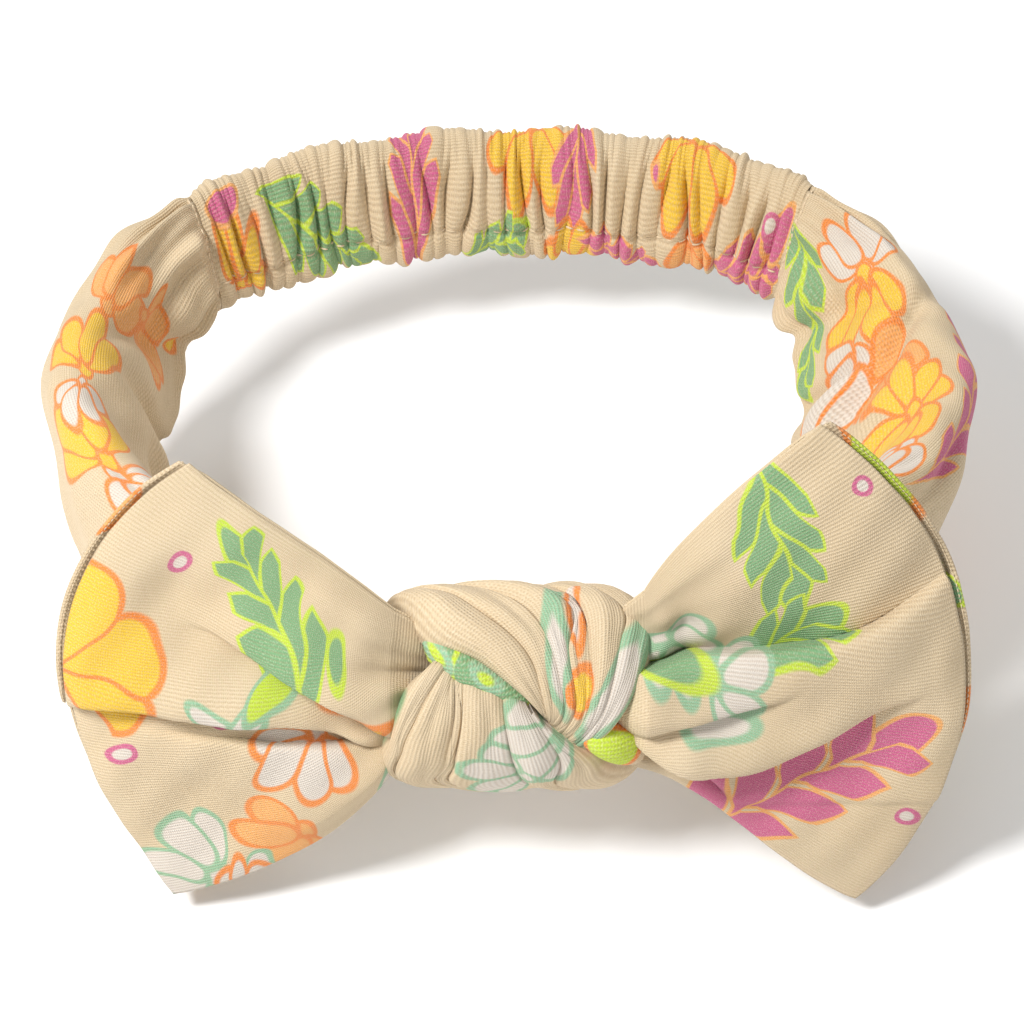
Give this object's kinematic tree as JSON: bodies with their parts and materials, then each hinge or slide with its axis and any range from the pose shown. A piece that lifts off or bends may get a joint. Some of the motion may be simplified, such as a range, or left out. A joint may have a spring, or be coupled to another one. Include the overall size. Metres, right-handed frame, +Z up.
{
  "type": "knotted headband",
  "caption": "Stretch fabric headband: gathered elastic casing at the back, wide soft side bands, and a half knot at the front with two broad bow tails.",
  "frame": {"origin": "on the plane the headband rests on, below the middle of its bounding box", "axes": "+X along the bow from the left tail to the right tail as seen from the front, +Y from the knot towards the elastic casing at the back, +Z up"},
  "size_m": [0.1894, 0.1686, 0.0971],
  "materials": {
    "printed_jersey": "matt printed knit",
    "sewing_thread": "matt polyester thread",
    "woven_elastic": "matt woven elastic"
  },
  "bodies": {
    "knot_and_rear": {"rear_casing": "printed_jersey", "elastic_strip": "woven_elastic", "casing_seam_stitching": "sewing_thread", "knot_upper_wrap": "printed_jersey", "knot_lower_wrap": "printed_jersey", "knot_left_strand": "printed_jersey", "knot_right_strand": "printed_jersey"},
    "left_band": {"left_band_outer_panel": "printed_jersey", "left_band_inner_panel": "printed_jersey", "left_band_edge_seams": "sewing_thread", "left_join_seam": "sewing_thread"},
    "left_tail": {"left_tail_front_panel": "printed_jersey", "left_tail_back_panel": "printed_jersey", "left_tail_edge_seam": "sewing_thread"},
    "right_band": {"right_band_outer_panel": "printed_jersey", "right_band_inner_panel": "printed_jersey", "right_band_edge_seams": "sewing_thread", "right_join_seam": "sewing_thread"},
    "right_tail": {"right_tail_front_panel": "printed_jersey", "right_tail_back_panel": "printed_jersey", "right_tail_edge_seam": "sewing_thread"}
  },
  "joints": [
    {"name": "left_band_spread", "type": "hinge", "parent": "knot_and_rear", "child": "left_band", "pos_m": [-0.0236, -0.055, 0.0424], "axis": [0, 0, 1], "range_deg": [0, 12]},
    {"name": "right_band_spread", "type": "hinge", "parent": "knot_and_rear", "child": "right_band", "pos_m": [0.0244, -0.055, 0.0424], "axis": [0, 0, -1], "range_deg": [0, 12]},
    {"name": "left_tail_swing", "type": "hinge", "parent": "knot_and_rear", "child": "left_tail", "pos_m": [-0.0266, -0.0639, 0.0424], "axis": [0, 0.4226, 0.9063], "range_deg": [-2, 35]},
    {"name": "right_tail_swing", "type": "hinge", "parent": "knot_and_rear", "child": "right_tail", "pos_m": [0.0274, -0.0639, 0.0424], "axis": [0, -0.4226, -0.9063], "range_deg": [-2, 35]}
  ],
  "couplings": [
    {"joint": "right_band_spread", "follows": "left_band_spread", "ratio": 1}
  ]
}
